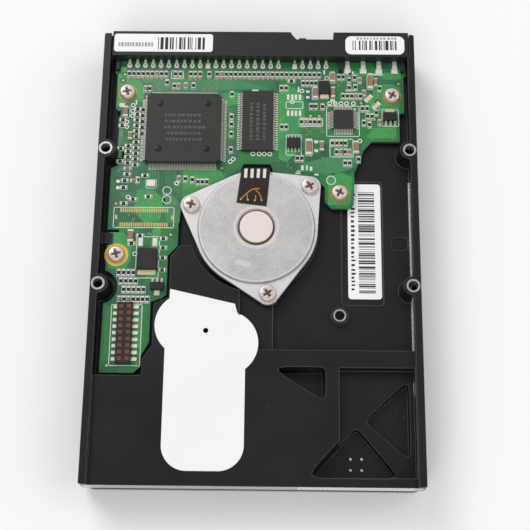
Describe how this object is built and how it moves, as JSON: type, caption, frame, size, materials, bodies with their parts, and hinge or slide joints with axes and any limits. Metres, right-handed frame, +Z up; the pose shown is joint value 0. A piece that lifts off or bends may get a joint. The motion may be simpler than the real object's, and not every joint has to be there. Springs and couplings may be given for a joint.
{
  "type": "hard disk drive",
  "caption": "Slim desktop hard disk drive shown circuit-board side up: black cast base with side rails, green board, round motor flange, white seal label and rear connector block.",
  "frame": {"origin": "centre of the footprint, on the plane the underside (cover) lies on", "axes": "+Y to the end with the connectors, +Z up out of the circuit-board side, +X to the right seen from above with the connectors away"},
  "size_m": [0.1016, 0.146, 0.0175],
  "materials": {
    "base_paint": "satin black paint over cast aluminium",
    "cover_sheet": "plain rolled sheet",
    "gasket_rubber": "soft matt",
    "bright_screw": "nickel plated",
    "white_label": "smooth white label stock",
    "board_green": "green solder mask over glass-fibre laminate",
    "film_black": "thin film",
    "washer_yellow": "yellow insulating washer",
    "chip_black": "moulded package",
    "crystal_white": "small ceramic can",
    "capacitor_tan": "chip capacitor body",
    "connector_plastic": "moulded black plastic",
    "contact_gold": "plated contact",
    "pin_tin": "tin-plated pin",
    "shunt_plastic": "moulded cap",
    "cast_aluminium": "bead-blasted casting",
    "flex_film": "polyimide film with copper tracks",
    "core_steel": "stacked laminations",
    "copper_wire": "enamelled copper winding",
    "bearing_steel": "ground steel",
    "hub_aluminium": "turned",
    "magnet_dark": "plated magnet",
    "platter_mirror": "polished disc",
    "slider_ceramic": "dark ceramic",
    "filter_white": "filter felt",
    "stop_rubber": "elastomer post"
  },
  "bodies": {
    "chassis": {"base_casting": "base_paint", "top_cover": "cover_sheet", "cover_gasket": "gasket_rubber", "cover_screws": "bright_screw", "cover_label": "white_label", "base_seal_label": "white_label", "barcode_label": "white_label", "connector_label_left": "white_label", "connector_label_right": "white_label", "circuit_board": "board_green", "board_insulator": "film_black", "board_screws": "bright_screw", "board_washer": "washer_yellow", "controller_chip": "chip_black", "memory_chip": "chip_black", "servo_chip": "chip_black", "flash_chip": "chip_black", "power_transistor": "chip_black", "regulator_rear": "chip_black", "regulator_side": "chip_black", "small_regulator": "chip_black", "crystal": "crystal_white", "head_connector": "connector_plastic", "head_connector_contacts": "contact_gold", "chip_capacitors": "capacitor_tan", "connector_housing": "connector_plastic", "ide_pins": "pin_tin", "jumper_pins": "pin_tin", "power_pins": "pin_tin", "motor_flange": "cast_aluminium", "motor_screws": "bright_screw", "motor_cap": "bearing_steel", "motor_flex": "flex_film", "stator_core": "core_steel", "stator_coils": "copper_wire", "bearing_sleeve": "bearing_steel", "pivot_bearing": "bearing_steel", "pivot_screw": "bright_screw", "upper_yoke": "core_steel", "lower_yoke": "core_steel", "voice_coil_magnets": "magnet_dark", "yoke_posts": "core_steel", "crash_stops": "stop_rubber", "flex_bracket": "cast_aluminium", "flex_pins": "contact_gold", "actuator_flex": "flex_film", "recirculation_filter": "filter_white", "breather_filter": "filter_white"},
    "spindle": {"spindle_shaft": "bearing_steel", "spindle_hub": "hub_aluminium", "rotor_magnet": "magnet_dark", "platter": "platter_mirror", "platter_clamp": "hub_aluminium", "clamp_screws": "bright_screw"},
    "actuator": {"actuator_block": "hub_aluminium", "head_suspensions": "bearing_steel", "head_sliders": "slider_ceramic", "voice_coil": "copper_wire"},
    "jumper_cap": {"jumper_shunt": "shunt_plastic"}
  },
  "joints": [
    {"name": "spindle_spin", "type": "hinge", "parent": "chassis", "child": "spindle", "pos_m": [0, 0.006, 0.006], "axis": [0, 0, 1], "continuous": true},
    {"name": "actuator_swing", "type": "hinge", "parent": "chassis", "child": "actuator", "pos_m": [-0.031, -0.044, 0.006], "axis": [0, 0, 1], "range_deg": [0, 27]},
    {"name": "jumper_pull", "type": "slide", "parent": "chassis", "child": "jumper_cap", "axis": [0, 1, 0], "range_m": [0, 0.008]}
  ]
}
